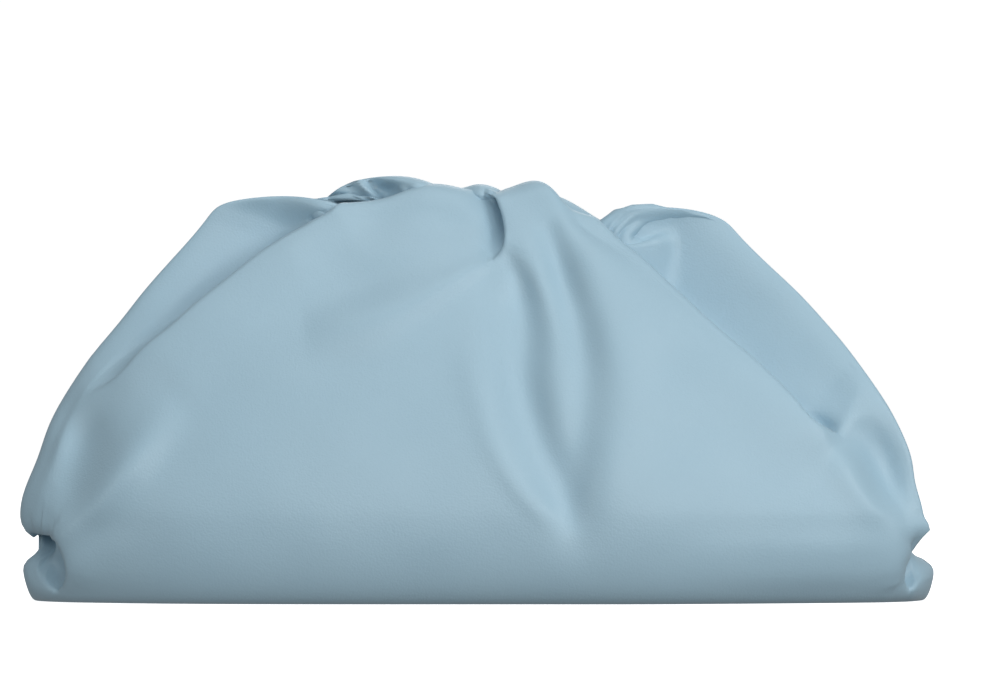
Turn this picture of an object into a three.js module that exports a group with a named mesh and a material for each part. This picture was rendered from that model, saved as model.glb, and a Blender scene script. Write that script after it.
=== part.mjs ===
// A soft leather pouch bag: one gathered leather body, hollow and open at the mouth, round a plain closure frame.
// Millimetres, +Z up, front towards -Y. The origin is on the floor, under the middle of the bag's box.
import * as THREE from "three";

// Driving dimensions of the body
const bagWidth = 380;
const bagHeight = 176;
const bagDepth = 140;
const leatherThickness = 1.6;
const skivedThickness = 1.2; // where the leather is pared down to be gathered, from the crest on
const skivedLevels = 3; // over how many of the wall's upper levels it is pared down
const bellyHeight = 36; // where the body is widest and deepest
const baseInsetEnds = 6.5; // how far the flat base stays inside the belly at its ends
const baseInsetFront = 15; // and at the front and back
const endDepth = 24; // the body's half depth at its two ends
const crestDepth = 13; // how far the middle of the gathers' roll lies in front of the mouth, and behind it
const crestWidth = 250; // length of the crest, shoulder to shoulder
const crestRadius = 8.5; // radius of the roll over the crest
const foldReach = 6.5; // how much larger a fold may make that radius, or smaller
const foldSwell = 0.75; // how much deeper the folds are halfway up the wall, as a share of foldReach

// The leather's curves, as exponents and shares
const endSquareness = 3.5; // how squarely the belly turns the corners to its ends, seen from above
const endFullness = 0.6; // how soon it is fully deep there
const wallHollow = 1.6; // how late the front and rear walls lean in: 1 is straight
const crestSquareness = 4; // how squarely the crest turns to the shoulders, seen from above
const rollTurn = 0.8; // how far the leather rolls over the crest, as a share of a half turn
const rollPull = 0.78; // how far the gathers have moved to their places on the frame by the end of the roll
const rollPullStart = 0.2; // where on the roll they begin to

// The side tucks, and the pockets that they leave over the ears at the bottom corners
const sideTuck = 20; // how deep each side is folded in above the ears
const earHeight = 13; // height of the ears' fullest point
const tuckHeight = 30; // height at which the side tuck is fully in
const pocketDepth = 14; // how far a pocket reaches back behind the front's corner
const pocketFoot = 4; // height at which the pockets begin
const pocketFloor = 13; // height from which they are fully deep
const notchFoot = 15; // height at which the notch between ear and side lobe begins
const notchFloor = 23; // height from which it is fully deep
const pocketRoof = 24.5; // height at which pocket and notch begin to close
const pocketTop = 33; // height at which they have closed

// Driving dimensions of the closure frame
const frameLength = 138;
const barThickness = 4;
const barHeight = 10;
const mouthGap = 8.4; // the slot between the two bars
const frameTop = 148; // height of the frame's upper edge
const seatClearance = 0.6; // between the leather's rim and the frame
const seatRise = 0.5; // how far above the frame the leather reaches it
const seatPull = 0.5; // how far the gathers are spaced on the frame as they are at the crest, from evenly to fully

// How finely the solids are cut, the base's levels being shares of the belly's height
const spansPerLine = 3;
const baseShares = [0, 0.035, 0.12, 0.24, 0.36, 0.47, 0.57, 0.665, 0.765, 0.865];
const wallLevels = 9;
const crestLevels = 4;
const throatLevels = 3;
const frameEndSteps = 8;
const eveningPasses = 3;

const halfWidth = bagWidth / 2;
const halfDepth = bagDepth / 2;

const named = (columns) => (row) => Object.fromEntries(columns.map((name, i) => [name, row[i]]));

// Lines that run up the leather from the belly to the crest, left to right over the front and back round the rear.
// foot and lip are shares of the half width, top is a share of the height, bow is how late the line leans in,
// fold is a share of foldReach, out of the surface, fades is the share of the way up where the fold dies out,
// and pocket and corner are how far the line goes in and back at a corner's pocket, as shares of pocketDepth.
const lineColumns = ["name", "foot", "lip", "top", "bow", "fold", "fades", "pocket", "corner"];
const frontLines = [
  ["left_shoulder", -1.0, -0.585, 0.946, 1.58, 0, 0, 0.1, 0.75],
  ["left_lobe", -0.968, -0.5, 0.955, 1.72, 0.1, 0.3, 0.5, 0.7],
  ["left_valley", -0.935, -0.318, 0.922, 2.1, -0.8, 0.25, 0.4, 0],
  ["left_fold", -0.895, -0.355, 0.938, 2.05, 0.25, 0.25, 0, 0],
  ["pillow_left", -0.66, -0.24, 0.952, 1.6, 0.15, 0.4, 0, 0],
  ["pillow_middle", -0.37, -0.125, 0.985, 1.3, 0.3, 0.5, 0, 0],
  ["pillow_right", -0.1, -0.01, 0.97, 1.2, 0.2, 0.65, 0, 0],
  ["centre_tuck", 0.03, 0.075, 0.93, 1.2, -0.75, 0.78, 0, 0],
  ["centre_rim", 0.1, 0.056, 0.965, 1.2, 0.35, 0.7, 0, 0],
  ["centre_lobe", 0.4, 0.135, 0.993, 1.2, 0.3, 0.3, 0, 0],
  ["right_fold", 0.893, 0.205, 0.942, 1.15, 0.25, 0.2, 0, 0],
  ["right_valley", 0.925, 0.36, 0.882, 1.2, -0.72, 0.2, 0.4, 0],
  ["right_lobe", 0.955, 0.52, 0.93, 1.6, 0, 0.3, 0.4, 0.5],
  ["right_shoulder", 0.968, 0.56, 0.915, 1.75, 0, 0, 0.4, 0.45],
].map(named(lineColumns));
const rearLines = [
  ["rear_right_shoulder", 0.968, 0.545, 0.9, 1.72, 0, 0, 0.4, 0.45],
  ["rear_right_lobe", 0.955, 0.495, 0.908, 1.6, 0.1, 0.3, 0.4, 0.5],
  ["rear_right_valley", 0.925, 0.39, 0.872, 1.35, -0.7, 0.25, 0.4, 0],
  ["rear_right_fold", 0.88, 0.295, 0.905, 1.25, 0.25, 0.25, 0, 0],
  ["rear_right_swell", 0.5, 0.18, 0.96, 1.2, 0.3, 0.4, 0, 0],
  ["rear_right_tuck", 0.27, 0.1, 0.93, 1.2, -0.6, 0.6, 0, 0],
  ["rear_middle_swell", 0.1, 0.02, 0.982, 1.2, 0.3, 0.5, 0, 0],
  ["rear_left_swell", -0.2, -0.11, 0.98, 1.3, 0.2, 0.5, 0, 0],
  ["rear_left_crest", -0.45, -0.31, 0.998, 1.5, 0.3, 0.45, 0, 0],
  ["rear_crease_valley", -0.56, -0.36, 0.955, 1.5, -0.5, 0.5, 0, 0],
  ["rear_crease_fold", -0.74, -0.405, 0.957, 1.75, 0.1, 0.5, 0, 0],
  ["rear_left_valley", -0.93, -0.445, 0.925, 2.0, -0.5, 0.3, 0.4, 0],
  ["rear_left_lobe", -0.968, -0.525, 0.945, 1.72, 0, 0.3, 0.5, 0.7],
  ["rear_left_shoulder", -1.0, -0.575, 0.94, 1.58, 0, 0, 0.1, 0.75],
].map(named(lineColumns));
const sideLines = [
  ["left_side", -0.996, -0.5, 0.905, 1.65, -0.6, 0, 0, 0.75],
  ["right_side", 1.008, 0.48, 0.882, 1.65, -0.6, 0, 0, 0.8],
].map(named(lineColumns));

// Dents and swells pressed into the leather. x and z are shares of the half width and the height, long and wide are
// the half lengths of the dent as shares of the height, turn is the angle of its long axis in degrees, and in is
// how far it pushes the leather in, as a share of the half depth: less than nothing is a swell.
const dentColumns = ["side", "x", "z", "long", "wide", "turn", "in"];
const dents = [
  ["front", -0.17, 0.9, 0.2, 0.075, 15, -0.07],
  ["front", -0.26, 0.74, 0.16, 0.06, 25, 0.055],
  ["front", 0.04, 0.74, 0.16, 0.055, 97, 0.06],
  ["front", 0.13, 0.38, 0.22, 0.055, 111, 0.055],
  ["front", 0.2, 0.72, 0.2, 0.055, 105, 0.05],
  ["front", 0.225, 0.36, 0.2, 0.05, 85, 0.04],
  ["front", -0.79, 0.3, 0.18, 0.05, 49, -0.05],
  ["front", -0.865, 0.38, 0.13, 0.05, 60, 0.06],
  ["front", 0.79, 0.33, 0.15, 0.05, 130, -0.04],
  ["front", 0.88, 0.32, 0.13, 0.05, 115, 0.05],
].map(named(dentColumns));

const clampShare = (t) => Math.min(1, Math.max(0, t));
const smooth = (t) => clampShare(t) * clampShare(t) * (3 - 2 * clampShare(t));
const mix = (a, b, t) => a + (b - a) * t;

// Half depth of the body at the belly, x being a share of the half width
function bellyDepthAt(x) {
  const round = Math.pow(Math.max(0, 1 - Math.pow(Math.abs(x), endSquareness)), endFullness);
  return mix(endDepth, halfDepth, round);
}

// Half depth of the gathers' crest at a distance x from the middle
function crestDepthAt(x) {
  const share = clampShare(Math.abs(x) / (crestWidth / 2));
  return crestDepth * Math.sqrt(1 - Math.pow(share, crestSquareness));
}

// The seat on the closure frame: a slot's outline, at a share of the way round it, starting at its left end and
// going over the front
const seatRadius = mouthGap / 2 + barThickness + seatClearance;
const seatStraight = frameLength - mouthGap - 2 * barThickness;
const seatLength = 2 * (seatStraight + Math.PI * seatRadius);
function seatAt(share) {
  const turn = Math.PI * seatRadius;
  const half = seatStraight / 2;
  const end = (side, angle) =>
    new THREE.Vector2(side * (half + seatRadius * Math.cos(angle)), seatRadius * Math.sin(angle));
  let run = share * seatLength;
  if (run < turn / 2) return end(-1, -run / seatRadius);
  run -= turn / 2;
  if (run < seatStraight) return new THREE.Vector2(run - half, -seatRadius);
  run -= seatStraight;
  if (run < turn) return end(1, run / seatRadius - Math.PI / 2);
  run -= turn;
  if (run < seatStraight) return new THREE.Vector2(half - run, seatRadius);
  run -= seatStraight;
  return end(-1, Math.PI / 2 - run / seatRadius);
}

// The share of the way round the frame at which a line arrives, between even spacing and its own place at the crest,
// the middle of the front being a quarter of the way round
function seatShareOf(line, even) {
  if (line.facing === 0) return even;
  const along = (line.lip * halfWidth * seatStraight) / crestWidth / seatLength;
  const own = line.facing < 0 ? 1 / 4 + along : 3 / 4 - along;
  return mix(even, own, seatPull);
}

// Every line of the closed ring, in order round the body, with the way it faces, the end that it is at,
// and the place on the closure frame that it runs to
const ring = [
  { ...sideLines[0], facing: 0, end: -1 },
  ...frontLines.map((line) => ({ ...line, facing: -1, end: 0 })),
  { ...sideLines[1], facing: 0, end: 1 },
  ...rearLines.map((line) => ({ ...line, facing: 1, end: 0 })),
].map((line, i, lines) => {
  const seatShare = seatShareOf(line, i / lines.length);
  return { ...line, seatShare, seat: seatAt(seatShare) };
});

// The middle of a line's roll at the crest, the roll's radius, and the way that is outwards there
function crestOf(line) {
  const x = line.lip * halfWidth;
  const y = line.facing * crestDepthAt(x);
  const nearest = Math.max(-seatStraight / 2, Math.min(seatStraight / 2, x));
  const outward = new THREE.Vector2(x - nearest, y).normalize();
  const radius = crestRadius + line.fold * foldReach;
  return { x: x - outward.x * radius, y, z: line.top * bagHeight - radius, outward, radius };
}

// How far the side tucks, the pockets and the notches have opened at a height
const tuckAt = (z) => smooth((z - earHeight) / (tuckHeight - earHeight));
const openAt = (z, foot, floor) =>
  smooth((z - foot) / (floor - foot)) * (1 - smooth((z - pocketRoof) / (pocketTop - pocketRoof)));
const pocketAt = (z) => pocketDepth * openAt(z, pocketFoot, pocketFloor);
const notchAt = (z) => pocketDepth * openAt(z, notchFoot, notchFloor);

// Where a line would be at its belly, with the tuck, the pocket and the notch of a height
function footAt(line, z) {
  const notch = Math.sign(line.foot) * line.corner * notchAt(z);
  const x = line.foot * halfWidth - line.end * sideTuck * tuckAt(z) - notch;
  return new THREE.Vector2(x, line.facing * (bellyDepthAt(line.foot) - line.pocket * pocketAt(z)));
}

// A point of a line on the rounded edge between the flat base (share = 0) and the belly (share = 1)
function basePoint(line, share) {
  const z = share * bellyHeight;
  const under = 1 - Math.sqrt(1 - (1 - share) * (1 - share));
  const foot = footAt(line, z);
  const endward = Math.sign(line.foot) * line.foot * line.foot;
  return new THREE.Vector3(foot.x - baseInsetEnds * under * endward, foot.y - line.facing * baseInsetFront * under, z);
}

// A point of a line on the wall between the belly (up = 0) and the start of the crest's roll (up = 1)
function wallPoint(line, up) {
  const crest = crestOf(line);
  const z = mix(bellyHeight, crest.z, up);
  const foot = footAt(line, z);
  const fold = line.facing * line.fold * foldReach;
  const grown = clampShare((up - line.fades) / (1 - line.fades));
  const risen = grown * (2 - grown) + foldSwell * 4 * grown * (1 - grown);
  const plainTop = crest.y + crest.outward.y * crest.radius - fold;
  const x = mix(foot.x, crest.x + crest.outward.x * crest.radius, Math.pow(up, line.bow));
  return new THREE.Vector3(x, mix(foot.y, plainTop, Math.pow(up, wallHollow)) + fold * risen, z);
}

// A point of a line on the roll over the crest, from 0, the wall, to 1, where it drops towards the mouth.
// The folds unfold sideways on their way over, before they come together in the throat.
function crestPoint(line, over) {
  const { x, y, z, outward, radius } = crestOf(line);
  const angle = over * rollTurn * Math.PI;
  const across = x + outward.x * radius * Math.cos(angle);
  return new THREE.Vector3(
    mix(across, line.seat.x, rollPull * smooth((over - rollPullStart) / (1 - rollPullStart))),
    y + outward.y * radius * Math.cos(angle),
    z + radius * Math.sin(angle),
  );
}

// A point of a line on its way down from the crest to the frame's upper edge
function throatPoint(line, down) {
  const start = crestPoint(line, 1);
  return new THREE.Vector3(
    mix(start.x, line.seat.x, 1 - (1 - down) * (1 - down)),
    mix(start.y, line.seat.y, down),
    mix(start.z, frameTop + seatRise, down),
  );
}

function pressDents(point, weight) {
  for (const dent of dents) {
    const facing = dent.side === "front" ? -1 : 1;
    if (point.y * facing < 0) continue;
    const turn = THREE.MathUtils.degToRad(dent.turn);
    const dx = point.x - dent.x * halfWidth;
    const dz = point.z - dent.z * bagHeight;
    const along = (dx * Math.cos(turn) + dz * Math.sin(turn)) / (dent.long * bagHeight);
    const across = (-dx * Math.sin(turn) + dz * Math.cos(turn)) / (dent.wide * bagHeight);
    const strength = weight * Math.exp(-(along * along + across * across));
    point.y -= facing * dent.in * halfDepth * strength;
  }
  return point;
}

// One closed ring of the outer surface, cut finer than its lines
function ringOf(controls) {
  const curve = new THREE.CatmullRomCurve3(controls, true, "centripetal");
  const count = controls.length * spansPerLine;
  return Array.from({ length: count }, (_, i) => curve.getPoint(i / count));
}

function outerRings() {
  const levels = (count) => Array.from({ length: count }, (_, i) => i / count);
  const ringsOf = (shares, pointOf) => shares.map((share) => ringOf(ring.map((line) => pointOf(line, share))));
  const rings = [...ringsOf(baseShares, basePoint), ...ringsOf(levels(wallLevels), wallPoint)];
  for (const points of rings) points.forEach((point) => pressDents(point, smooth(point.z / bellyHeight)));
  rings.push(...ringsOf(levels(crestLevels), crestPoint), ...ringsOf(levels(throatLevels), throatPoint));
  const seat = (height) =>
    rings[0].map((_, i) => {
      const line = Math.floor(i / spansPerLine);
      const next = ring[line + 1]?.seatShare ?? 1;
      const at = seatAt(mix(ring[line].seatShare, next, (i % spansPerLine) / spansPerLine));
      return new THREE.Vector3(at.x, at.y, height);
    });
  rings.push(seat(frameTop + seatRise), seat(frameTop - barHeight));
  return rings;
}

// The way out of the leather at each point of a ring, evened out between neighbours so that the inside of
// a tight fold doesn't cross itself
function normalsOf(rings) {
  const count = rings[0].length;
  let normals = rings.map((points, level) =>
    points.map((_, i) => {
      const before = rings[Math.max(0, level - 1)][i];
      const after = rings[Math.min(rings.length - 1, level + 1)][i];
      const round = points[(i + 1) % count].clone().sub(points[(i + count - 1) % count]);
      return round.cross(after.clone().sub(before)).normalize();
    }),
  );
  for (let pass = 0; pass < eveningPasses; pass++)
    normals = normals.map((around) =>
      around.map((normal, i) => {
        const beside = around[(i + 1) % count].clone().add(around[(i + count - 1) % count]);
        return beside.multiplyScalar(0.5).add(normal).normalize();
      }),
    );
  return normals;
}

function shellGeometry() {
  const outer = outerRings();
  const normals = normalsOf(outer);
  const crestLevel = baseShares.length + wallLevels;
  const inner = outer.map((points, level) =>
    points.map((point, i) => {
      const thickness = mix(leatherThickness, skivedThickness, smooth(1 - (crestLevel - level) / skivedLevels));
      const inside = point.clone().addScaledVector(normals[level][i], -thickness);
      if (level === 0) inside.z = leatherThickness;
      return inside;
    }),
  );
  inner[inner.length - 1].forEach((point, i) => {
    point.z = outer[outer.length - 1][i].z;
  });
  const count = outer[0].length;
  const rows = [...outer, ...inner.reverse()];
  const positions = rows.flat().flatMap((p) => [p.x, p.y, p.z]);
  positions.push(0, 0, 0, 0, 0, leatherThickness);
  const index = [];
  for (let r = 0; r + 1 < rows.length; r++)
    for (let i = 0; i < count; i++) {
      const next = (i + 1) % count;
      const [a, b, c, d] = [r * count + i, r * count + next, (r + 1) * count + next, (r + 1) * count + i];
      index.push(a, b, c, a, c, d);
    }
  const under = rows.length * count;
  for (let i = 0; i < count; i++) {
    const next = (i + 1) % count;
    const last = (rows.length - 1) * count;
    index.push(under, next, i, under + 1, last + i, last + next);
  }
  const geometry = new THREE.BufferGeometry();
  geometry.setAttribute("position", new THREE.Float32BufferAttribute(positions, 3));
  geometry.setIndex(index);
  return geometry;
}

// The closure frame: a loop of flat bar, rounded at its ends
function frameGeometry() {
  const outerRadius = mouthGap / 2 + barThickness;
  const slot = (path, radius) => {
    const half = seatStraight / 2;
    path.moveTo(-half, -radius);
    path.lineTo(half, -radius);
    path.absarc(half, 0, radius, -Math.PI / 2, Math.PI / 2, false);
    path.lineTo(-half, radius);
    path.absarc(-half, 0, radius, Math.PI / 2, (3 * Math.PI) / 2, false);
    return path;
  };
  const shape = slot(new THREE.Shape(), outerRadius);
  shape.holes.push(slot(new THREE.Path(), mouthGap / 2));
  const cut = { depth: barHeight, bevelEnabled: false, curveSegments: frameEndSteps };
  const geometry = new THREE.ExtrudeGeometry(shape, cut);
  return geometry.translate(0, 0, frameTop - barHeight);
}

const leather = new THREE.MeshStandardMaterial({ name: "leather", color: 0x9bb8c8, roughness: 0.5, metalness: 0 });
const wrappedBar = new THREE.MeshStandardMaterial({ name: "frame", color: 0x93afbf, roughness: 0.55, metalness: 0 });

const pouch = new THREE.Group();
const body = new THREE.Mesh(shellGeometry(), leather);
body.name = "leather_body";
const frame = new THREE.Mesh(frameGeometry(), wrappedBar);
frame.name = "closure_frame";
pouch.add(body, frame);

export default pouch;
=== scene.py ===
# %% [markdown]
# A soft gathered pouch bag.
# The real bag is one large piece of very soft calf leather. It stands on a flat base, bulges out over it,
# and all of its width is then gathered into a narrow mouth, where it is sewn to a hidden closure frame.
# Nothing in it is stiff, so everything the eye sees is folds: two long laps, a short deep tuck in the
# middle, broad soft valleys, and a tuck at each end that leaves a small pocket over the bottom corner. This
# lesson rebuilds the frame's plain leather body as a fine surface, and gives it its folds and its leather.

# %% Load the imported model
import math

import bpy
import numpy as np
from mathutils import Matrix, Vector


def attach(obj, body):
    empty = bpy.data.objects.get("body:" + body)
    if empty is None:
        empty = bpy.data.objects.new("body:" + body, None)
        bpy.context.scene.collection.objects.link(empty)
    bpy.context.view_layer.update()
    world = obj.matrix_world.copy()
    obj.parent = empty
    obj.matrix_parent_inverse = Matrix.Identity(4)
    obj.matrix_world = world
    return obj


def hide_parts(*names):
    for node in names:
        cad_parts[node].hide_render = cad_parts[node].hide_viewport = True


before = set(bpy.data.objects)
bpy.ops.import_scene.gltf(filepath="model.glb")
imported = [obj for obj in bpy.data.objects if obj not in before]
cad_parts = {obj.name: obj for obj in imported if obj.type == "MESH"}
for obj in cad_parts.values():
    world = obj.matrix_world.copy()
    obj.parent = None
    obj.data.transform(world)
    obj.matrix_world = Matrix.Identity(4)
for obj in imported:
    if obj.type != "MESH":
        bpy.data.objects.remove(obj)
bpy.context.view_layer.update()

# %% [markdown]
# The camera comes first, so that every later step can be looked at as the photograph shows it. The
# photograph was taken from straight in front, a little above the floor and from far enough away that the
# bag shows almost no perspective. The picture's width and its scale, in pixels per millimetre, set the
# lens.

# %% The camera
MM = 0.001
PICTURE_WIDTH = 986
PIXELS_PER_MM = 2.4026
CAMERA_DISTANCE = 4
CAMERA_RISE = math.radians(0.4)
SENSOR_MM = 36
looked_at = Vector((6.04 * MM, 0, 105.7 * MM))

camera = bpy.data.objects.new("camera", bpy.data.cameras.new("camera"))
bpy.context.scene.collection.objects.link(camera)
away = Vector((0, -math.cos(CAMERA_RISE), math.sin(CAMERA_RISE)))
camera.location = looked_at + away * CAMERA_DISTANCE
camera.rotation_mode = "QUATERNION"
camera.rotation_quaternion = (-away).to_track_quat("-Z", "Y")
camera.data.sensor_width = SENSOR_MM
camera.data.lens = SENSOR_MM * CAMERA_DISTANCE / (PICTURE_WIDTH / PIXELS_PER_MM * MM)
bpy.context.scene.camera = camera
print("lens:", round(camera.data.lens, 1), "mm")

# %% [markdown]
# The leather body is a loft. Gather lines run up the leather, from the rounded edge of the base over the
# belly, up the wall, over the crest and down to the closure frame, and a smooth closed curve joins them at
# each height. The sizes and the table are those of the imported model, apart from the pockets' roof and top
# and the lines set apart below, so the fine surface lies close to the plain one. A mesh sculpted by hand
# could have been used instead, but a loft keeps every gather tied to a named line.

# %% The sizes of the body, in millimetres
BAG_WIDTH = 380
BAG_HEIGHT = 176
BAG_DEPTH = 140
LEATHER = 1.6
BELLY_HEIGHT = 36
BASE_INSET_ENDS = 6.5
BASE_INSET_FRONT = 15
END_DEPTH = 24
CREST_DEPTH = 13
CREST_WIDTH = 250
CREST_RADIUS = 8.5
FOLD_REACH = 6.5
FOLD_SWELL = 0.75
END_SQUARENESS = 3.5
END_FULLNESS = 0.6
WALL_HOLLOW = 1.6
CREST_SQUARENESS = 4
ROLL_TURN = 0.8
ROLL_PULL = 0.78
ROLL_PULL_START = 0.2
SIDE_TUCK = 20
EAR_HEIGHT = 13
TUCK_HEIGHT = 30
POCKET_DEPTH = 14
POCKET_FOOT = 4
POCKET_FLOOR = 13
NOTCH_FOOT = 15
NOTCH_FLOOR = 23
POCKET_ROOF = 22.5
POCKET_TOP = 32
FRAME_LENGTH = 138
BAR_THICKNESS = 4
BAR_HEIGHT = 10
MOUTH_GAP = 8.4
FRAME_TOP = 148
SEAT_CLEARANCE = 0.6
SEAT_RISE = 0.5
SEAT_PULL = 0.5
HALF_WIDTH = BAG_WIDTH / 2
HALF_DEPTH = BAG_DEPTH / 2

# %% The gather lines, from left to right over the front, and back round the rear
# foot and lip: place at the belly and at the crest, as shares of the half width. top: height, as a share of
# the bag's. bow: how late the line leans in. fold: how far it stands out, as a share of the fold reach.
# fades: where on the wall the fold dies out. pocket and corner: how far the line goes in and back at a
# corner's pocket.
LINE_COLUMNS = ("name", "foot", "lip", "top", "bow", "fold", "fades", "pocket", "corner")
FRONT_LINES = (
    ("left_shoulder", -1.0, -0.585, 0.946, 1.58, 0, 0, 0.1, 0.75),
    ("left_lobe", -0.968, -0.5, 0.955, 1.72, 0.1, 0.3, 0.5, 0.7),
    ("left_valley", -0.935, -0.318, 0.922, 2.1, -0.8, 0.25, 0.4, 0),
    ("left_fold", -0.895, -0.355, 0.938, 2.05, 0.25, 0.25, 0, 0),
    ("pillow_left", -0.66, -0.24, 0.952, 1.6, 0.15, 0.4, 0, 0),
    ("pillow_middle", -0.37, -0.125, 0.985, 1.3, 0.3, 0.5, 0, 0),
    ("pillow_right", -0.1, -0.01, 0.97, 1.2, 0.2, 0.65, 0, 0),
    ("centre_tuck", 0.03, 0.075, 0.93, 1.2, -0.75, 0.78, 0, 0),
    ("centre_rim", 0.1, 0.056, 0.965, 1.2, 0.35, 0.7, 0, 0),
    ("centre_lobe", 0.4, 0.135, 0.993, 1.2, 0.3, 0.3, 0, 0),
    ("right_fold", 0.893, 0.205, 0.942, 1.15, 0.25, 0.2, 0, 0),
    ("right_valley", 0.925, 0.36, 0.882, 1.2, -0.72, 0.2, 0.4, 0),
    ("right_lobe", 0.955, 0.52, 0.93, 1.6, 0, 0.3, 0.4, 0.5),
    ("right_shoulder", 0.968, 0.56, 0.915, 1.75, 0, 0, 0.4, 0.45),
)
REAR_LINES = (
    ("rear_right_shoulder", 0.968, 0.545, 0.9, 1.72, 0, 0, 0.4, 0.45),
    ("rear_right_lobe", 0.955, 0.495, 0.908, 1.6, 0.1, 0.3, 0.4, 0.5),
    ("rear_right_valley", 0.925, 0.39, 0.872, 1.35, -0.7, 0.25, 0.4, 0),
    ("rear_right_fold", 0.88, 0.295, 0.905, 1.25, 0.25, 0.25, 0, 0),
    ("rear_right_swell", 0.5, 0.18, 0.96, 1.2, 0.3, 0.4, 0, 0),
    ("rear_right_tuck", 0.27, 0.1, 0.93, 1.2, -0.6, 0.6, 0, 0),
    ("rear_middle_swell", 0.1, 0.02, 0.982, 1.2, 0.3, 0.5, 0, 0),
    ("rear_left_swell", -0.2, -0.11, 0.98, 1.3, 0.2, 0.5, 0, 0),
    ("rear_left_crest", -0.45, -0.31, 0.998, 1.5, 0.3, 0.45, 0, 0),
    ("rear_crease_valley", -0.56, -0.36, 0.955, 1.5, -0.5, 0.5, 0, 0),
    ("rear_crease_fold", -0.74, -0.405, 0.957, 1.75, 0.1, 0.5, 0, 0),
    ("rear_left_valley", -0.93, -0.445, 0.925, 2.0, -0.5, 0.3, 0.4, 0),
    ("rear_left_lobe", -0.968, -0.525, 0.945, 1.72, 0, 0.3, 0.5, 0.7),
    ("rear_left_shoulder", -1.0, -0.575, 0.94, 1.58, 0, 0, 0.1, 0.75),
)
LEFT_SIDE = ("left_side", -0.996, -0.5, 0.905, 1.65, -0.6, 0, 0, 0.75)
RIGHT_SIDE = ("right_side", 1.008, 0.48, 0.882, 1.65, -0.6, 0, 0, 0.8)


def read_line(row, facing, end):
    line = dict(zip(LINE_COLUMNS, row))
    line["facing"] = facing
    line["end"] = end
    return line


# Lines that the fine surface sets apart, because its laps do the folding: lip, top and fold of each
SET_APART = {
    "left_shoulder": (-0.59, 0.952, 0),
    "left_lobe": (-0.505, 0.947, 0.1),
    "left_valley": (-0.405, 0.922, -0.3),
    "left_fold": (-0.34, 0.935, 0.1),
    "centre_tuck": (0.035, 0.962, -0.2),
    "centre_rim": (0.075, 0.976, 0.25),
    "centre_lobe": (0.155, 0.99, 0.3),
    "right_fold": (0.215, 0.925, 0.1),
    "right_valley": (0.35, 0.89, -0.1),
    "rear_left_shoulder": (-0.58, 0.945, 0),
    "left_side": (-0.505, 0.91, -0.6),
}
ring = [read_line(LEFT_SIDE, 0, -1)]
ring += [read_line(row, -1, 0) for row in FRONT_LINES]
ring += [read_line(RIGHT_SIDE, 0, 1)]
ring += [read_line(row, 1, 0) for row in REAR_LINES]
for line in ring:
    own = (line["lip"], line["top"], line["fold"])
    line["lip"], line["top"], line["fold"] = SET_APART.get(line["name"], own)
print("gather lines:", len(ring))

# %% The seat of the leather on the closure frame: a slot's outline
seat_radius = MOUTH_GAP / 2 + BAR_THICKNESS + SEAT_CLEARANCE
seat_straight = FRAME_LENGTH - MOUTH_GAP - 2 * BAR_THICKNESS
seat_length = 2 * (seat_straight + math.pi * seat_radius)


def seat_at(share):
    """The point of the outline at a share of the way round, from the left end over the front."""
    turn = math.pi * seat_radius
    half = seat_straight / 2
    run = share * seat_length

    def end(side, angle):
        return side * (half + seat_radius * math.cos(angle)), seat_radius * math.sin(angle)

    if run < turn / 2:
        return end(-1, -run / seat_radius)
    run -= turn / 2
    if run < seat_straight:
        return run - half, -seat_radius
    run -= seat_straight
    if run < turn:
        return end(1, run / seat_radius - math.pi / 2)
    run -= turn
    if run < seat_straight:
        return half - run, seat_radius
    run -= seat_straight
    return end(-1, math.pi / 2 - run / seat_radius)


for i, line in enumerate(ring):
    even = i / len(ring)
    own = even
    if line["facing"]:
        along = line["lip"] * HALF_WIDTH * seat_straight / CREST_WIDTH / seat_length
        own = 1 / 4 + along if line["facing"] < 0 else 3 / 4 - along
    line["seat_share"] = even + (own - even) * SEAT_PULL
    line["seat"] = seat_at(line["seat_share"])


# %% Where a gather line runs, section by section
def smooth(t):
    t = np.clip(t, 0, 1)
    return t * t * (3 - 2 * t)


def mix(a, b, t):
    return a + (b - a) * t


def belly_depth(x):
    fullness = max(0, 1 - abs(x) ** END_SQUARENESS) ** END_FULLNESS
    return mix(END_DEPTH, HALF_DEPTH, fullness)


def opened(z, foot, floor):
    return smooth((z - foot) / (floor - foot)) * (1 - smooth((z - POCKET_ROOF) / (POCKET_TOP - POCKET_ROOF)))


def foot_at(line, z):
    """Where a line would stand at its belly, with the side tuck, pocket and notch of a height."""
    tuck = SIDE_TUCK * smooth((z - EAR_HEIGHT) / (TUCK_HEIGHT - EAR_HEIGHT))
    notch = POCKET_DEPTH * opened(z, NOTCH_FOOT, NOTCH_FLOOR) * line["corner"]
    pocket = POCKET_DEPTH * opened(z, POCKET_FOOT, POCKET_FLOOR) * line["pocket"]
    x = line["foot"] * HALF_WIDTH - line["end"] * tuck - np.sign(line["foot"]) * notch
    return x, line["facing"] * (belly_depth(line["foot"]) - pocket)


def crest_of(line):
    """The middle of a line's roll over the crest, its radius, and the way out there."""
    x = line["lip"] * HALF_WIDTH
    share = min(1, abs(x) / (CREST_WIDTH / 2))
    y = line["facing"] * CREST_DEPTH * math.sqrt(1 - share**CREST_SQUARENESS)
    nearest = max(-seat_straight / 2, min(seat_straight / 2, x))
    length = math.hypot(x - nearest, y)
    out = ((x - nearest) / length, y / length)
    radius = CREST_RADIUS + line["fold"] * FOLD_REACH
    return x - out[0] * radius, y - out[1] * radius, line["top"] * BAG_HEIGHT - radius, out, radius


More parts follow.
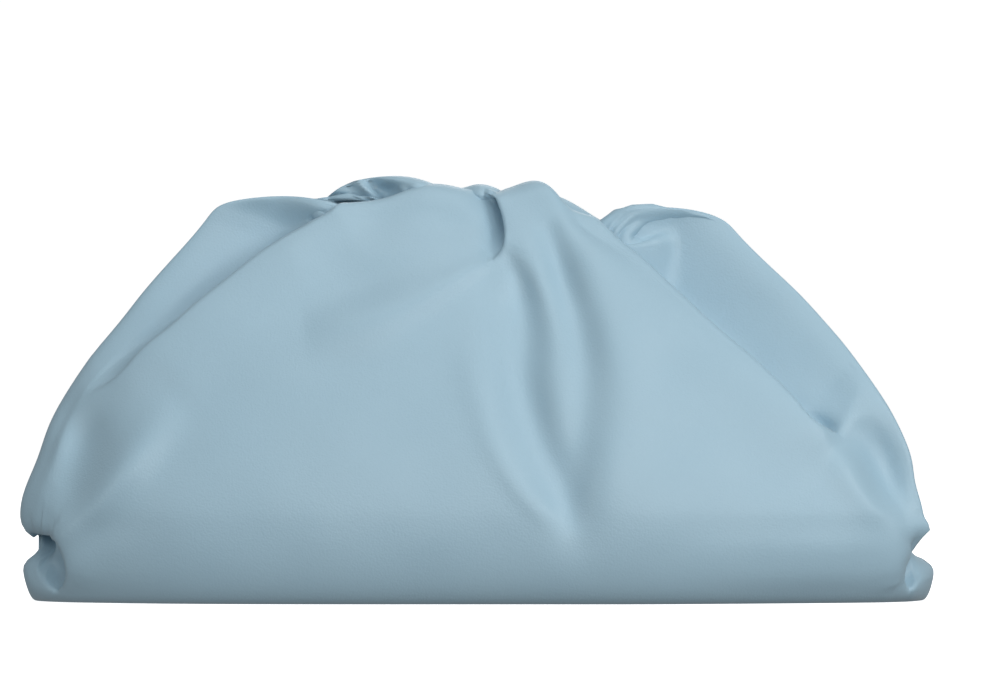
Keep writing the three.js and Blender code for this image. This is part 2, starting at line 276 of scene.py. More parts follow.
def base_points(line, share):
    z = share * BELLY_HEIGHT
    under = 1 - np.sqrt(1 - (1 - share) ** 2)
    x, y = foot_at(line, z)
    endward = np.sign(line["foot"]) * line["foot"] ** 2
    return x - BASE_INSET_ENDS * under * endward, y - line["facing"] * BASE_INSET_FRONT * under, z


def wall_points(line, up):
    cx, cy, cz, out, radius = crest_of(line)
    z = mix(BELLY_HEIGHT, cz, up)
    x, y = foot_at(line, z)
    fold = line["facing"] * line["fold"] * FOLD_REACH
    grown = np.clip((up - line["fades"]) / (1 - line["fades"]), 0, 1)
    risen = grown * (2 - grown) + FOLD_SWELL * 4 * grown * (1 - grown)
    plain_top = cy + out[1] * radius - fold
    wall_x = mix(x, cx + out[0] * radius, up ** line["bow"])
    return wall_x, mix(y, plain_top, up**WALL_HOLLOW) + fold * risen, z


def crest_points(line, over):
    cx, cy, cz, out, radius = crest_of(line)
    angle = over * ROLL_TURN * math.pi
    pulled = ROLL_PULL * smooth((over - ROLL_PULL_START) / (1 - ROLL_PULL_START))
    x = mix(cx + out[0] * radius * np.cos(angle), line["seat"][0], pulled)
    return x, cy + out[1] * radius * np.cos(angle), cz + radius * np.sin(angle)


def throat_points(line, down):
    x, y, z = (float(c) for c in crest_points(line, 1.0))
    seat_x, seat_y = line["seat"]
    return mix(x, seat_x, 1 - (1 - down) ** 2), mix(y, seat_y, down), mix(z, FRAME_TOP + SEAT_RISE, down)


# %% [markdown]
# The plain model joins its gather lines at a handful of heights. Here the same lines are cut into a grid of
# points about a millimetre and a half apart, which is fine enough to carry a fold's rolled edge. The curve
# round the bag is a centripetal spline, because it doesn't overshoot where two gather lines lie close
# together.

# %% The grid of the outer surface
POINT_SPACING = 1.45
FEWEST_POINTS = 8
BASE_ROWS = 22
WALL_ROWS = 84
CREST_ROWS = 26
THROAT_ROWS = 12
SEAT_ROWS = 5

base_share = 1 - np.cos(np.arange(BASE_ROWS) / BASE_ROWS * math.pi / 2)
wall_share = np.arange(WALL_ROWS) / WALL_ROWS
crest_share = np.arange(CREST_ROWS) / CREST_ROWS
throat_share = np.arange(THROAT_ROWS + 1) / THROAT_ROWS


def gather_line(line):
    """All points of one line, from the edge of the base to the frame, as an array of rows by 3."""
    parts = []
    for share, points in (
        (base_share, base_points),
        (wall_share, wall_points),
        (crest_share, crest_points),
        (throat_share, throat_points),
    ):
        x, y, z = points(line, share)
        parts.append(np.stack([x + 0 * share, y + 0 * share, z + 0 * share], axis=1))
    return np.concatenate(parts)


lines = np.stack([gather_line(line) for line in ring])
spans = np.linalg.norm(np.roll(lines, -1, axis=0) - lines, axis=2).max(axis=1)
points_in_span = np.maximum(FEWEST_POINTS, np.ceil(spans / POINT_SPACING).astype(int))


def spline_span(p0, p1, p2, p3, t):
    """Centripetal spline from p1 to p2, for all rows at once. t is a column of shares."""

    def knot(a, b):
        return np.sqrt(np.maximum(np.linalg.norm(b - a, axis=-1, keepdims=True), 1e-6))

    d0, d1, d2 = knot(p0, p1), knot(p1, p2), knot(p2, p3)
    m1 = ((p1 - p0) / d0 - (p2 - p0) / (d0 + d1) + (p2 - p1) / d1) * d1
    m2 = ((p2 - p1) / d1 - (p3 - p1) / (d1 + d2) + (p3 - p2) / d2) * d1
    t = t[:, None, None]
    return p1 + m1 * t + (3 * (p2 - p1) - 2 * m1 - m2) * t**2 + (2 * (p1 - p2) + m1 + m2) * t**3


columns = []
line_of_column = []
for i, count in enumerate(points_in_span):
    around = [lines[(i + k) % len(ring)] for k in (-1, 0, 1, 2)]
    columns.append(spline_span(*around, np.arange(count) / count))
    line_of_column += [i + k / count for k in range(count)]
grid = np.concatenate(columns).transpose(1, 0, 2)
line_of_column = np.array(line_of_column)
print("grid:", grid.shape[0], "rows of", grid.shape[1], "points")

# %% [markdown]
# The dents and swells of the plain model are pressed in next, as soft ovals. Then the grid is evened out a
# little: each point moves towards the middle of its neighbours. That takes away the faint ridges along the
# gather lines, which no real leather has.

# %% Dents and swells, from the plain model
# x and z: shares of the half width and the height. long and wide: half lengths, as shares of the height.
# turn: in degrees. in: how far the leather is pushed in, as a share of the half depth.
DENTS = (
    (-0.17, 0.9, 0.2, 0.075, 15, -0.07),
    (-0.26, 0.74, 0.16, 0.06, 25, 0.055),
    (0.04, 0.74, 0.16, 0.055, 97, 0.06),
    (0.13, 0.38, 0.22, 0.055, 111, 0.055),
    (0.2, 0.72, 0.2, 0.055, 105, 0.05),
    (0.225, 0.36, 0.2, 0.05, 85, 0.04),
    (-0.79, 0.3, 0.18, 0.05, 49, -0.05),
    (-0.865, 0.38, 0.13, 0.05, 60, 0.06),
    (0.79, 0.33, 0.15, 0.05, 130, -0.04),
    (0.88, 0.32, 0.13, 0.05, 115, 0.05),
)
EVENING_PASSES = 4
# The upper edge of the wall is evened up and down the bag only, most of all two rows below the crest
SHOULDER_PASSES = 40
SHOULDER_ROWS = 9
SHOULDER_BELOW = 2

wall_top = BASE_ROWS + WALL_ROWS
crest_top = wall_top + CREST_ROWS
row_index = np.arange(grid.shape[0])[:, None] + 0 * line_of_column[None, :]
on_front = (line_of_column < len(FRONT_LINES) + 1)[None, :] & (row_index >= 0)
low = smooth(grid[..., 2] / BELLY_HEIGHT)
for x, z, long, wide, turn, pushed in DENTS:
    turned = math.radians(turn)
    dx, dz = grid[..., 0] - x * HALF_WIDTH, grid[..., 2] - z * BAG_HEIGHT
    along = (dx * math.cos(turned) + dz * math.sin(turned)) / (long * BAG_HEIGHT)
    across = (-dx * math.sin(turned) + dz * math.cos(turned)) / (wide * BAG_HEIGHT)
    pressed = low * np.exp(-(along**2 + across**2)) * (on_front & (row_index < wall_top))
    grid[..., 1] += pushed * HALF_DEPTH * pressed


def evened(points, passes, weight=1.0):
    """Each point moved towards the middle of its neighbours, round the bag and up it. The end rows stay."""
    for _ in range(passes):
        around = (np.roll(points, 1, axis=1) + np.roll(points, -1, axis=1)) / 2
        above = points.copy()
        above[1:-1] = (points[:-2] + points[2:]) / 2
        middle = (around + above) / 2
        middle[0], middle[-1] = points[0], points[-1]
        points = mix(points, middle, 0.5 * weight)
    return points


def ways_out(points):
    """The way out of the leather at each point of the grid."""
    around = np.roll(points, -1, axis=1) - np.roll(points, 1, axis=1)
    up = np.gradient(points, axis=0)
    out = np.cross(around, up)
    return out / np.maximum(np.linalg.norm(out, axis=2, keepdims=True), 1e-9)


grid = evened(grid, EVENING_PASSES)
near_shoulder = np.exp(-(((row_index[:, 0] - wall_top + SHOULDER_BELOW) / SHOULDER_ROWS) ** 2))[:, None, None]
for _ in range(SHOULDER_PASSES):
    grid[1:-1] = mix(grid[1:-1], (grid[:-2] + grid[2:]) / 2, 0.5 * near_shoulder[1:-1])

# %% [markdown]
# A lap is where one part of the leather is folded over its neighbour. The eye reads it by three things: a
# rounded lip that catches the light, a dark line under the lip, and a shaded hollow beside it. A bump map
# could fake the line, but not the lip's outline against the hollow, so the laps are made in the mesh.
# Distances to the line of a front fold are measured on a flat sheet: the front view as far up as the wall
# goes, and the leather of the crest unrolled above it. The rear's folds are measured as seen from behind.
# Points close to a lap's line are used for the hidden part of the fold, which rolls over the lip and comes
# back under it in an S.

# %% The tables of the folds
# Each lap: name, side that lies on top when the line is followed, lift, sink, hidden, roll, panel, hollow,
# in mm, then the points of its line: x from the middle, z from the floor, and the share of its full
# strength there.
LAPS = (
    ("left_lap", 1, 4.0, 8.0, 5.0, 2.4, 20, 17, (
        (-52, 180, 0.1), (-57, 171, 0.5), (-64, 163.5, 1), (-73, 158, 1), (-82, 152.5, 1), (-96, 141, 1),
        (-107, 132, 1), (-118, 123, 1), (-128, 114, 0.9), (-138, 106, 0.75), (-147, 96, 0.4),
        (-154, 90.5, 0.14), (-162, 87, 0),
    )),
    ("right_lap", -1, 3.5, 7.0, 5.0, 2.4, 18, 20, (
        (36, 182, 0), (43, 171, 0.25), (49, 162, 0.65), (57, 153.5, 0.95), (67, 144, 1), (80, 131, 1),
        (92, 120, 1), (103, 110, 1), (117, 98, 1), (130, 85, 1), (137, 77, 0.9), (144, 72.5, 0.5),
        (149, 70, 0),
    )),
    ("centre_tuck", 1, 1.2, 9.0, 4.0, 1.4, 7, 6, (
        (-3, 185, 0.5), (0, 177, 0.8), (4.5, 170, 1), (7.5, 165, 1), (9.5, 158, 1), (10.5, 151, 0.85),
        (10, 147, 0.5), (7, 143, 0.2), (2, 140, 0),
    )),
    ("left_pocket", 1, 0.6, 9.0, 3.0, 1.2, 8, 9, (
        (-188, 24, 0.5), (-183, 27, 0.9), (-178, 27.5, 1), (-174, 24, 1), (-171, 18, 1), (-170, 12.5, 0.9),
        (-171.5, 8, 0.6), (-175, 4, 0),
    )),
    ("right_pocket", -1, 0.6, 7.0, 3.0, 1.2, 8, 8, (
        (187, 29, 0.3), (183, 25.5, 0.8), (179.5, 21.6, 1), (177, 16, 1), (176, 9.5, 0.8), (178.5, 5, 0),
    )),
)
# Each soft fold: name, then the points of its line: x, z, depth and half width, in mm. A ridge's depth is
# below 0.
SOFT_FOLDS = (
    ("pillow_hollow", (
        (-74, 138, 0, 9), (-60, 144, 3, 9), (-42, 152, 4, 9), (-24, 156, 3.5, 9), (-8, 155, 2.5, 7),
        (2, 152, 0, 6),
    )),
    ("pillow_shelf", (
        (-72, 114, 0, 10), (-58, 116, -2.4, 10), (-40, 120, -3, 10), (-18, 131, -2.2, 8),
        (0, 140, -0.8, 5),
    )),
    ("hook_ridge", (
        (12, 150, -1.2, 3.5), (9, 143, -1.6, 3.5), (-2, 138, -1.5, 4), (-14, 131, -1.2, 4.5),
        (-30, 121, -0.5, 6), (-44, 114, 0, 7),
    )),
    ("left_v", (
        (14, 141, 2, 5), (18, 130, 5.5, 6), (21, 112, 6, 8), (20.5, 92, 5, 9), (26, 68, 4, 8.5),
        (36, 42, 3, 7), (40, 29, 0, 6),
    )),
    ("right_v", (
        (29, 153, 2.5, 4.5), (34, 136, 5, 6), (40, 118, 3.6, 7.5), (42.5, 98, 2.4, 8), (41, 76, 1.8, 8),
        (40, 56, 1.4, 7), (40, 40, 0, 7),
    )),
    ("left_v_slope", (
        (8, 132, 0, 8), (11, 114, 1.4, 8), (10, 94, 1.4, 8), (15, 70, 1.0, 8), (26, 46, 0, 7),
    )),
    ("v_left_rim", (
        (-8, 108, 0, 6), (0, 88, -1.0, 7), (6, 68, -1.3, 6), (16, 50, -1.4, 5), (27, 38, -1.2, 5),
        (37, 29, 0, 5),
    )),
    ("v_right_rim", (
        (54, 126, 0, 10), (58, 112, -1.6, 12), (60, 90, -1.4, 12), (54, 60, -0.8, 10), (46, 38, 0, 8),
    )),
    ("left_low_valley", (
        (-176, 86, 0, 8), (-166, 74, 3.2, 10), (-162, 62, 4.2, 11), (-166, 48, 3.4, 10), (-174, 38, 0, 9),
    )),
    ("left_low_ridge", (
        (-122, 80, 0, 9), (-134, 70, -2.0, 9), (-145, 54, -3.0, 9), (-155, 42, -3.0, 8),
        (-166, 32, -1.8, 6), (-174, 26, 0, 5),
    )),
    ("right_shelf", (
        (118, 104, 0, 6), (131, 90, -1.8, 7), (140, 84, -2.2, 6), (150, 78, -0.8, 6), (156, 70, 0, 6),
    )),
    ("right_dimple", (
        (138, 82, 0, 3), (142, 77, 2.6, 3.5), (145, 73.5, 3.4, 3), (148, 71, 0, 3),
    )),
    ("right_low_valley", (
        (156, 76, 0, 8), (164, 62, 4.0, 10), (168, 50, 5.0, 10), (172, 38, 2.5, 9), (176, 28, 0, 8),
    )),
    ("right_low_ridge", (
        (148, 66, 0, 7), (154, 54, -1.5, 7), (160, 44, -1.8, 6), (170, 34, -1.0, 5), (178, 28, 0, 5),
    )),
    ("left_pocket_floor", (
        (-188, 28, 0, 3), (-183, 27.5, 8, 3.2), (-178, 26.5, 13, 3), (-174.5, 25, 6, 2.5),
        (-172, 24, 0, 2),
    )),
    ("left_ear_cup", (
        (-180, 22, 0, 5), (-176, 18, 3, 6), (-175, 12, 2.5, 6), (-178, 7, 0, 5),
    )),
    ("right_pocket_floor", (
        (184, 23, 0, 2.5), (180.5, 21.5, 6, 2.4), (178, 20, 0, 2),
    )),
    ("right_lobe_facet", (
        (66, 160, -1.0, 5), (74, 152, -1.2, 5), (82, 144, 0, 5),
    )),
)
# Slits and ridges of the rear's gathers, where they show over the front's crest: x, z, how far back they go
# and half width, in mm
REAR_FOLDS = (
    ((-76, 167, 0, 3), (-71, 167, -2.5, 2.4), (-64, 166, -3, 2.4), (-59, 164, -1, 2.4)),
    ((-71, 165.2, 1, 1.2), (-66, 164.2, 4, 1.3), (-60, 162.4, 5, 1.5)),
    ((-66, 170.5, -1, 3), (-60, 170.5, -4.0, 3), (-54, 169.5, -5.0, 3), (-49, 166.5, -4.0, 3)),
    ((-62, 168, 1, 1.1), (-57, 166.4, 6, 1.3), (-51, 164.2, 8, 1.6)),
    ((-53, 176, -2, 2), (-50, 173.5, -6.0, 2.0), (-46.5, 170.5, -7.0, 2.0), (-43.5, 168, -6.0, 2)),
    (
        (-47.5, 175.5, 0, 1.5), (-43, 172.5, 3, 2.4), (-40, 170.5, 4, 2.6), (-33, 171.5, 2, 2.5),
        (-26, 173.5, 0, 2),
    ),
)
# Dips in the rear's crest: x, how deep and half width, in mm. They begin at the dips' foot, and are fully
# deep from the head on.
CREST_DIPS = ((67, 5.0, 9),)
DIP_FOOT = 110
DIP_HEAD_BELOW_TOP = 10
# Pulls on the outline at the two ends: x, z, half width, half height and how far, in mm
OUTLINE_PULLS = (
    (190, 50, 14, 9, -2.4),
    (187, 30.5, 7, 3.2, 4.2),
    (186, 20, 8, 3, 1.6),
    (-188, 60, 16, 14, 2.0),
    (-186, 22, 8, 4, 1.6),
)
# The distance between the points of a fold's line, in mm. How far beside a lap the leather is drawn in, as
# a multiple of its hidden part. Below the crest, the rows over which the way up turns from plumb to the
# leather's own.
TRACE_STEP = 2.0
DRAWN_IN = 2.5
UNROLL_ROWS = 14
# Over what part of the leather the folds die out: from a row of the crest on, as shares of its rows, and
# over the lowest millimetres, so that the base stays flat
FOLDS_END = 0.2
FOLDS_END_OVER = 0.55
FLAT_FOOT = 2
FLAT_FOOT_OVER = 5
# How far in front of the middle the leather stays where the frame is behind it, and where that is, in mm:
# from a height, up to a height and out to a distance from the middle, each with the length over which it
# sets in
FRAME_ROOM = 12.0
ROOM_FROM, ROOM_FROM_OVER = 122, 10
ROOM_UP_TO, ROOM_UP_TO_OVER = 149, 5
ROOM_OUT_TO, ROOM_OUT_TO_OVER = 74, 10
ROOM_CREST_ROWS = 6
# How far back the leather is set beside the frame, in mm, and from which height and distance from the
# middle. On the front that is only at the two end lobes, which end and start at these gather lines.
LOBE_SETBACK = 6.0
LOBE_FROM, LOBE_FROM_OVER = 85, 40
LOBE_OUT_FROM, LOBE_OUT_FROM_OVER = 62, 22
LEFT_LOBE_ENDS, LEFT_LOBE_ENDS_OVER = 3, 1
RIGHT_LOBE_STARTS, RIGHT_LOBE_STARTS_OVER = 11.2, 0.8
LAST_EVENING = 0.6


# %% How a fold's line is traced, and how the leather is pressed in or folded over along it
def traced(points):
    """A smooth line through the points of a fold, with points about two millimetres apart."""
    points = np.array(points, float)
    padded = np.vstack([2 * points[0] - points[1], points, 2 * points[-1] - points[-2]])
    steps = []
    for i in range(len(points) - 1):
        around = [padded[i + k][None, :] for k in range(4)]
        count = max(2, int(np.linalg.norm(points[i + 1, :2] - points[i, :2]) / TRACE_STEP))
        steps.append(spline_span(*around, np.arange(count) / count)[:, 0])
    steps.append(points[-1:])
    return np.concatenate(steps)


def nearest_on(line, x, z):
    """For each point of the grid: its distance to the line, the line's values there, and the way to its
    left."""
    far = np.full(x.shape, np.inf)
    values = np.zeros(x.shape + (line.shape[1],))
    left = np.zeros(x.shape + (2,))
    for start, stop in zip(line[:-1], line[1:]):
        step = (stop - start)[:2]
        t = np.clip(((x - start[0]) * step[0] + (z - start[1]) * step[1]) / (step @ step), 0, 1)
        at = start + (stop - start) * t[..., None]
        distance = np.hypot(x - at[..., 0], z - at[..., 1])
        closer = distance < far
        far = np.where(closer, distance, far)
        values[closer] = at[closer]
        left[closer] = np.array([-step[1], step[0]]) / np.linalg.norm(step)
    return far, values, left


def pressed_along(line, x, z):
    """How deep a soft fold is at each point of the grid."""
    far, values, _ = nearest_on(traced(line), x, z)
    return values[..., 2] * np.exp(-((far / np.maximum(values[..., 3], 1)) ** 2))


def fold_over(points, sheet, reach, top_side, lift, sink, hidden, roll, panel, hollow, line):
    """Folds the leather over itself along a line. Run is the distance from the line, above 0 on the side
    that lies on top, and turn goes from -1 to 1 over the hidden part."""
    far, values, left = nearest_on(traced(line), sheet[..., 0], sheet[..., 1])
    strength = np.clip(values[..., 2], 0, 1) * reach
    away = left * top_side
    beside = (sheet[..., 0] - values[..., 0]) * away[..., 0] + (sheet[..., 1] - values[..., 1]) * away[..., 1]
    run = np.where(beside >= 0, far, -far)
    run = run - roll * strength
    half = hidden * np.maximum(strength, 1e-3)
    turn = np.clip(run / half, -1, 1)
    past = np.maximum(np.abs(run) - half, 0)
    drawn_in = run - np.sign(run) * half * np.exp(-((past / (DRAWN_IN * hidden)) ** 2))
    place = np.where(np.abs(turn) < 1, -roll * strength * np.sin(math.pi * turn), drawn_in)
    on_top = lift * np.exp(-((past / panel) ** 2))
    beneath = -sink * np.exp(-((past / hollow) ** 2))
    height = mix(beneath, on_top, smooth((turn + 1) / 2))
    slid = away * ((place - run) * (strength > 0))[..., None]
    return moved_on(points, slid, height * strength), sheet + slid


def moved_on(points, slid, height):
    """Points moved across and up the sheet, and out of it."""
    return points + across * slid[..., :1] + upward * slid[..., 1:] + outward * height[..., None]


# %% The folds of the front, then those of the rear, and the outline
front_columns = int(on_front[0].sum())
front = grid[:crest_top, :front_columns].copy()
front_row = row_index[:crest_top, :front_columns]
over_crest = smooth((front_row - wall_top + UNROLL_ROWS) / UNROLL_ROWS)[..., None]
outward = np.array([0.0, -1, 0])
upward = np.gradient(front, axis=0)
upward = mix(np.array([0.0, 0, 1]), upward / np.linalg.norm(upward, axis=2, keepdims=True), over_crest)
across = np.cross(upward, outward)
steps_up = np.linalg.norm(np.diff(front, axis=0, prepend=front[:1]), axis=2)
unrolled = np.cumsum(np.where(front_row > wall_top, steps_up, 0), axis=0)
sheet_height = np.where(front_row > wall_top, front[wall_top, :, 2] + unrolled, front[..., 2])
sheet = np.stack([front[..., 0], sheet_height], axis=2)
front_reach = 1 - smooth((front_row - wall_top - FOLDS_END * CREST_ROWS) / (FOLDS_END_OVER * CREST_ROWS))
front_reach = front_reach * smooth((front[..., 2] - FLAT_FOOT) / FLAT_FOOT_OVER)
for name, line in SOFT_FOLDS:
    pressed = pressed_along(line, sheet[..., 0], sheet[..., 1])
    front = moved_on(front, 0 * sheet, -pressed * front_reach)
for name, *lap in LAPS:
    front, sheet = fold_over(front, sheet, front_reach, *lap)
near_frame = smooth((front[..., 2] - ROOM_FROM) / ROOM_FROM_OVER)
near_frame = near_frame * (1 - smooth((front[..., 2] - ROOM_UP_TO) / ROOM_UP_TO_OVER))
near_frame = near_frame * (1 - smooth((np.abs(front[..., 0]) - ROOM_OUT_TO) / ROOM_OUT_TO_OVER))
near_frame = near_frame * (front_row < wall_top + ROOM_CREST_ROWS)
front[..., 1] = mix(front[..., 1], np.minimum(front[..., 1], -FRAME_ROOM), near_frame)
grid[:crest_top, :front_columns] = front
in_left_lobe = 1 - smooth((line_of_column - LEFT_LOBE_ENDS) / LEFT_LOBE_ENDS_OVER)
in_right_lobe = smooth((line_of_column - RIGHT_LOBE_STARTS) / RIGHT_LOBE_STARTS_OVER)
in_lobe = np.where(on_front[0], in_left_lobe + in_right_lobe, 1)
beside_frame = in_lobe * smooth((grid[..., 2] - LOBE_FROM) / LOBE_FROM_OVER)
beside_frame = beside_frame * smooth((np.abs(grid[..., 0]) - LOBE_OUT_FROM) / LOBE_OUT_FROM_OVER)
grid[..., 1] += LOBE_SETBACK * beside_frame
rear = grid[wall_top:, front_columns:].copy()
for line in REAR_FOLDS:
    rear[..., 1] += pressed_along(line, rear[..., 0], rear[..., 2])
grid[wall_top:, front_columns:] = rear
for x, z, wide, high, pull in OUTLINE_PULLS:
    near = np.exp(-(((grid[..., 0] - x) / wide) ** 2) - ((grid[..., 2] - z) / high) ** 2)
    grid[..., 0] += pull * near
for x, dip, width in CREST_DIPS:
    near_top = smooth((grid[..., 2] - DIP_FOOT) / (BAG_HEIGHT - DIP_FOOT - DIP_HEAD_BELOW_TOP))
    grid[..., 2] -= dip * np.exp(-(((grid[..., 0] - x) / width) ** 2)) * near_top * ~on_front
grid = evened(grid, 1, LAST_EVENING)
print("folds:", len(LAPS), "laps and", len(SOFT_FOLDS), "soft folds")

# %% [markdown]
# Where the leather is gathered into the mouth, each gather breaks up into small pleats. They start late on
# the roll over the crest and grow deeper towards the frame, where the leather is packed tightest. Waves
# that run up the leather, of a few lengths that don't repeat together, look like pleats pushed together by
# hand.

# %% Small pleats at the mouth, and the leather's slight unevenness
PLEAT_DEPTH = 0.6
PLEAT_WAVES = ((61, 0.3, 1.0), (43, 1.9, 0.7), (89, 4.1, 0.4))
UNEVEN_DEPTH = 0.35
UNEVEN_WAVES = (
    (0.061, 0.034, 0.3),
    (0.037, -0.083, 1.7),
    (-0.091, 0.052, 2.9),
    (0.128, 0.109, 4.4),
    (-0.149, 0.131, 5.2),
)
UNEVEN_ACROSS = 0.05
UNEVEN_FROM, UNEVEN_FROM_OVER = 10, 20
# Where the pleats start, as a share of the crest's rows, and how far down the throat they are fully deep
PLEATS_START = 0.75
PLEATS_FULL = 0.7
# Gathers that stand out at the rear's crest, or go in where the height is below 0: place on the ring in
# gather lines, where they start as a share of the wall, height in mm and half width in gather lines
GATHERS = (
    (21.6, 0.86, 1.2, 0.25),
    (22.6, 0.84, -1.2, 0.25),
    (23.5, 0.84, 1.2, 0.3),
)
GATHER_CREST_ROWS = 4

out = ways_out(grid)
for place, start, height, width in GATHERS:
    growing_rows = (1 - start) * WALL_ROWS + GATHER_CREST_ROWS
    begun = smooth((row_index - BASE_ROWS - start * WALL_ROWS) / growing_rows)
    ridge = np.exp(-(((line_of_column - place) / width) ** 2))
    grid = grid + out * (height * begun * ridge[None, :])[..., None]
out = ways_out(grid)
turn_share = line_of_column / len(ring) * 2 * math.pi
pleats = sum(height * np.sin(count * turn_share + phase) for count, phase, height in PLEAT_WAVES)
pleat_rows = (1 - PLEATS_START) * CREST_ROWS + PLEATS_FULL * THROAT_ROWS
gathered = smooth((row_index - wall_top - PLEATS_START * CREST_ROWS) / pleat_rows)
grid = grid + out * (PLEAT_DEPTH * gathered * pleats[None, :])[..., None]
uneven = sum(
    np.sin(a * grid[..., 0] + b * grid[..., 2] + UNEVEN_ACROSS * grid[..., 1] + phase)
    for a, b, phase in UNEVEN_WAVES
)
in_wall = smooth((grid[..., 2] - UNEVEN_FROM) / UNEVEN_FROM_OVER) * (row_index < crest_top)
grid = grid + out * (UNEVEN_DEPTH / len(UNEVEN_WAVES) * uneven * in_wall)[..., None]

# %% The seat on the frame, the inside and the mesh
INNER_ROWS_STEP = 3
INNER_EVENING_PASSES = 6
seat_share_of_column = []
for i, count in enumerate(points_in_span):
    here = ring[i]["seat_share"]
    after = ring[i + 1]["seat_share"] if i + 1 < len(ring) else 1.0
    seat_share_of_column += [mix(here, after, k / count) for k in range(count)]
seat = np.array([seat_at(share) for share in seat_share_of_column])
seat_rows = []
for height in np.linspace(FRAME_TOP + SEAT_RISE, FRAME_TOP - BAR_HEIGHT, SEAT_ROWS):
    seat_rows.append(np.column_stack([seat, np.full(len(seat), height)]))
outer = np.concatenate([grid[:-1], np.stack(seat_rows)])
outer[0, :, 2] = 0
even_out = evened(ways_out(outer), INNER_EVENING_PASSES)
even_out /= np.linalg.norm(even_out, axis=2, keepdims=True)
inner = outer - even_out * LEATHER
inner[0, :, 2] = LEATHER
inner[-1, :, 2] = outer[-1, :, 2]
kept_rows = sorted(set(range(0, len(inner), INNER_ROWS_STEP)) | {len(inner) - 1})
rows = np.concatenate([outer, inner[kept_rows][::-1]])
count = rows.shape[1]
points = [tuple(p) for p in (rows.reshape(-1, 3) * MM)]
points += [(0, 0, 0), (0, 0, LEATHER * MM)]
faces = []
for r in range(len(rows) - 1):
    for i in range(count):
        n = (i + 1) % count
        faces.append((r * count + i, r * count + n, (r + 1) * count + n, (r + 1) * count + i))
last = (len(rows) - 1) * count
for i in range(count):
    n = (i + 1) % count
    faces.append((len(points) - 2, n, i))
    faces.append((len(points) - 1, last + i, last + n))
mesh = bpy.data.meshes.new("gathered_leather")
mesh.from_pydata(points, [], faces)
mesh.shade_smooth()
pouch = bpy.data.objects.new("gathered_leather", mesh)
bpy.context.scene.collection.objects.link(pouch)
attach(pouch, "root")
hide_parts("leather_body")
print("leather:", len(points), "points,", len(faces), "faces")

# %% [markdown]
# The leather is butter calf: drummed until it is soft, dyed through and finished with a thin clear coat of
# wax, so it has a fine flat grain and a wide, soft shine. That needs no pattern of colour to speak of: a
# very faint mottle, a grain of bumps a little under a millimetre across, and a middling roughness that
# varies slightly.

# %% Colours and nodes


def colour(hex_code):
    """An sRGB hex colour as the linear colour that the shaders use."""
    channels = [int(hex_code[i : i + 2], 16) / 255 for i in (0, 2, 4)]
    return [c / 12.92 if c <= 0.04045 else ((c + 0.055) / 1.055) ** 2.4 for c in channels] + [1.0]


def add_node(material, kind, settings=None, links=None):
    """Adds a node. Settings set its inputs or its own values by name, and links join other nodes' outputs
    to it."""
    tree = material.node_tree
    node = tree.nodes.new(kind)
    for key, value in (settings or {}).items():
        if isinstance(key, int) or key in node.inputs:
            node.inputs[key].default_value = value
        else:
            setattr(node, key, value)
    for key, (source, output) in (links or {}).items():
        tree.links.new(source.outputs[output], node.inputs[key])
    return node


def new_material(name):
    material = bpy.data.materials.new(name)
    material.use_nodes = True
    material.node_tree.nodes.clear()
    return material


# %% Butter calf leather
GRAIN_MM = 0.85
PORE_MM = 2.2
MOTTLE_MM = 38


def calf_leather(name, pale, deep, roughness):
    leather = new_material(name)
    where = add_node(leather, "ShaderNodeTexCoord")
    grain = add_node(
        leather,
        "ShaderNodeTexVoronoi",
        {"Scale": 1 / (GRAIN_MM * MM), "feature": "SMOOTH_F1", "Smoothness": 0.6, "Randomness": 1.0},
        {"Vector": (where, "Object")},
    )
    pores = add_node(
        leather,
        "ShaderNodeTexNoise",
        {"Scale": 1 / (PORE_MM * MM), "Detail": 4.0, "Roughness": 0.6},
        {"Vector": (where, "Object")},
    )
    mottle = add_node(
        leather,
        "ShaderNodeTexNoise",
        {"Scale": 1 / (MOTTLE_MM * MM), "Detail": 3.0, "Roughness": 0.5},
        {"Vector": (where, "Object")},
    )
    shades = add_node(
        leather,
        "ShaderNodeMix",
        {"data_type": "RGBA", 6: colour(deep), 7: colour(pale)},
        {0: (mottle, "Fac")},
    )
    relief = add_node(
        leather,
        "ShaderNodeMath",
        {"operation": "MULTIPLY_ADD", 1: 0.5},
        {0: (pores, "Fac"), 2: (grain, "Distance")},
    )
    bump = add_node(
        leather,
        "ShaderNodeBump",
        {"Strength": 0.35, "Distance": 0.2 * MM},
        {"Height": (relief, 0)},
    )
    shine = add_node(
        leather,
        "ShaderNodeMapRange",
        {"To Min": roughness - 0.05, "To Max": roughness + 0.05},
        {"Value": (pores, "Fac")},
    )
    shader = add_node(
        leather,
        "ShaderNodeBsdfPrincipled",
        {"IOR": 1.45, "Sheen Weight": 0.08, "Sheen Roughness": 0.4},
        {"Base Color": (shades, 2), "Roughness": (shine, "Result"), "Normal": (bump, "Normal")},
    )
    add_node(leather, "ShaderNodeOutputMaterial", links={"Surface": (shader, "BSDF")})
    return leather


butter_calf = calf_leather("butter_calf_leather", "9dbac9", "97b5c5", 0.46)
wrapped_calf = calf_leather("wrapped_calf_leather", "95b2c2", "8eabbb", 0.5)
pouch.data.materials.append(butter_calf)
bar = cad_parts["closure_frame"]
bar.data.materials.clear()
bar.data.materials.append(wrapped_calf)

# %% [markdown]
# The studio: white paper that runs out flat and then up a far wall, one wide soft light in front of the
# bag, and smaller ones above, at the right, at the left and behind. The light from the right and from above
# is what sets the two sides of each fold apart. The paper glows a little, so that it comes out white, but
# it throws no light on the bag, because the lowest leather in the photograph is dark.

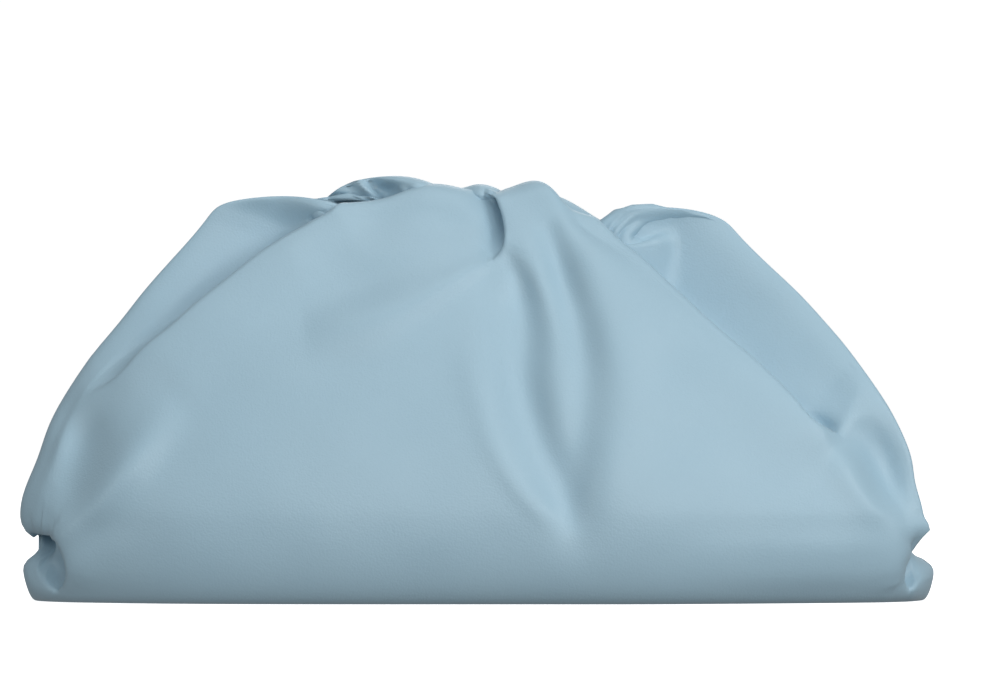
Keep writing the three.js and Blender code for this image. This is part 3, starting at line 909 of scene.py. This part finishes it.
# %% Floor, wall and lights
backdrop_paper = new_material("backdrop_paper")
paper = add_node(
    backdrop_paper,
    "ShaderNodeBsdfPrincipled",
    {
        "Base Color": colour("f4f4f4"),
        "Roughness": 0.9,
        "Emission Color": (1, 1, 1, 1),
        "Emission Strength": 0.8,
    },
)
add_node(backdrop_paper, "ShaderNodeOutputMaterial", links={"Surface": (paper, "BSDF")})

SWEEP_RADIUS = 1.0
SWEEP_BACK = 9.0
SWEEP_HALF_WIDTH = 10.0
SWEEP_FRONT = -10.0
SWEEP_TOP = 6.0
SWEEP_STEPS = 12
profile = [(SWEEP_FRONT, 0.0), (SWEEP_BACK, 0.0)]
for k in range(1, SWEEP_STEPS + 1):
    angle = k / SWEEP_STEPS * math.pi / 2
    profile.append((SWEEP_BACK + SWEEP_RADIUS * math.sin(angle), SWEEP_RADIUS * (1 - math.cos(angle))))
profile.append((SWEEP_BACK + SWEEP_RADIUS, SWEEP_TOP))
corners = [(x, y, z) for y, z in profile for x in (-SWEEP_HALF_WIDTH, SWEEP_HALF_WIDTH)]
strips = [(2 * k, 2 * k + 1, 2 * k + 3, 2 * k + 2) for k in range(len(profile) - 1)]
sweep_mesh = bpy.data.meshes.new("paper_sweep")
sweep_mesh.from_pydata(corners, [], strips)
sweep_mesh.shade_smooth()
sweep = bpy.data.objects.new("paper_sweep", sweep_mesh)
bpy.context.scene.collection.objects.link(sweep)
sweep.data.materials.append(backdrop_paper)
sweep.visible_diffuse = False
sweep.visible_glossy = False


def soft_light(name, place, target, size, power):
    light = bpy.data.lights.new(name, "AREA")
    light.shape = "SQUARE"
    light.size = size
    light.energy = power
    lamp = bpy.data.objects.new(name, light)
    lamp.location = place
    lamp.rotation_mode = "QUATERNION"
    lamp.rotation_quaternion = (Vector(target) - Vector(place)).to_track_quat("-Z", "Y")
    bpy.context.scene.collection.objects.link(lamp)
    return lamp


soft_light("key_light", (0.4, -1.8, 0.45), (0, 0, 0.08), 1.2, 15.5)
soft_light("top_light", (0.1, -0.4, 1.5), (0, 0, 0.08), 0.9, 4.6)
soft_light("right_light", (1.3, -0.9, 0.9), (0, 0, 0.1), 0.8, 11)
soft_light("left_light", (-1.3, -1.3, 0.5), (0, 0, 0.08), 0.8, 4.5)
soft_light("rear_light", (0.2, 1.6, 1.2), (0, 0, 0.1), 1.0, 7)
world = bpy.data.worlds.new("studio")
bpy.context.scene.world = world
world.use_nodes = True
world.node_tree.nodes["Background"].inputs["Color"].default_value = (1, 1, 1, 1)
world.node_tree.nodes["Background"].inputs["Strength"].default_value = 0.25
bpy.context.scene.view_settings.view_transform = "Standard"
